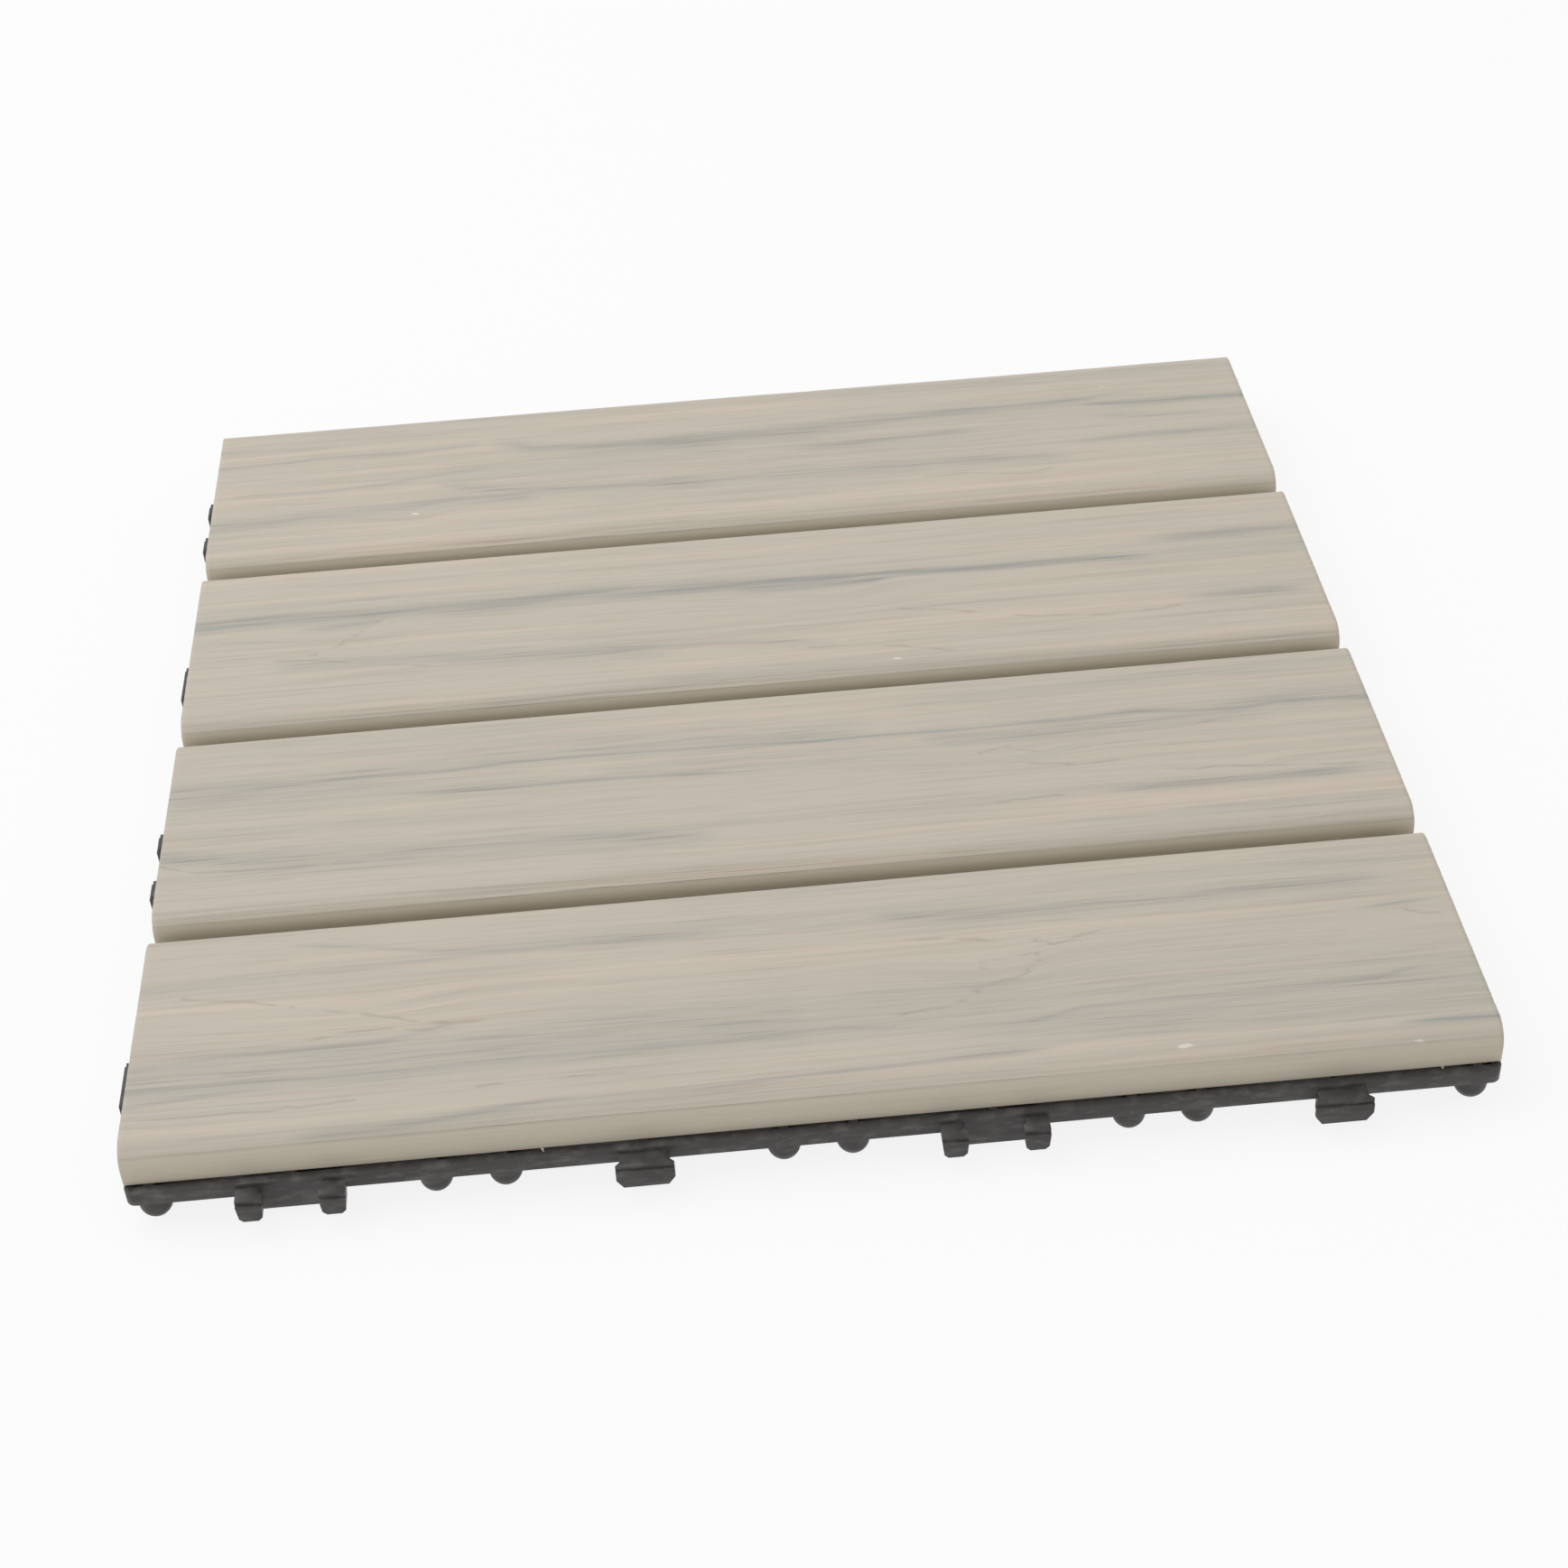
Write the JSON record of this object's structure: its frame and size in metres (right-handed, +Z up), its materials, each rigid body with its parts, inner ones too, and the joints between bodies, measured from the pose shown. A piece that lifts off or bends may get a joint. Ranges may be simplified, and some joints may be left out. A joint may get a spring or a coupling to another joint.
{
  "type": "interlocking deck tile",
  "caption": "Square outdoor floor tile: wood-grain composite boards with rounded long edges, screwed to a black plastic grid base with feet, tabs and sockets.",
  "frame": {"origin": "centre of the tile, on the plane that the feet stand on", "axes": "+X along the boards, +Y towards the back board, +Z up through the walking face"},
  "size_m": [0.3094, 0.3094, 0.0213],
  "materials": {
    "board_composite": "wood and plastic composite, grey-beige with blue-grey streaks, embossed grain on top, smooth extruded sides",
    "base_plastic": "charcoal injection-moulded polypropylene, fine matt texture",
    "screw_steel": "plain stainless steel"
  },
  "bodies": {
    "root": {"base_grid": "base_plastic", "board_back": "board_composite", "board_middle_back": "board_composite", "board_middle_front": "board_composite", "board_front": "board_composite", "fixing_screws": "screw_steel"}
  },
  "joints": []
}
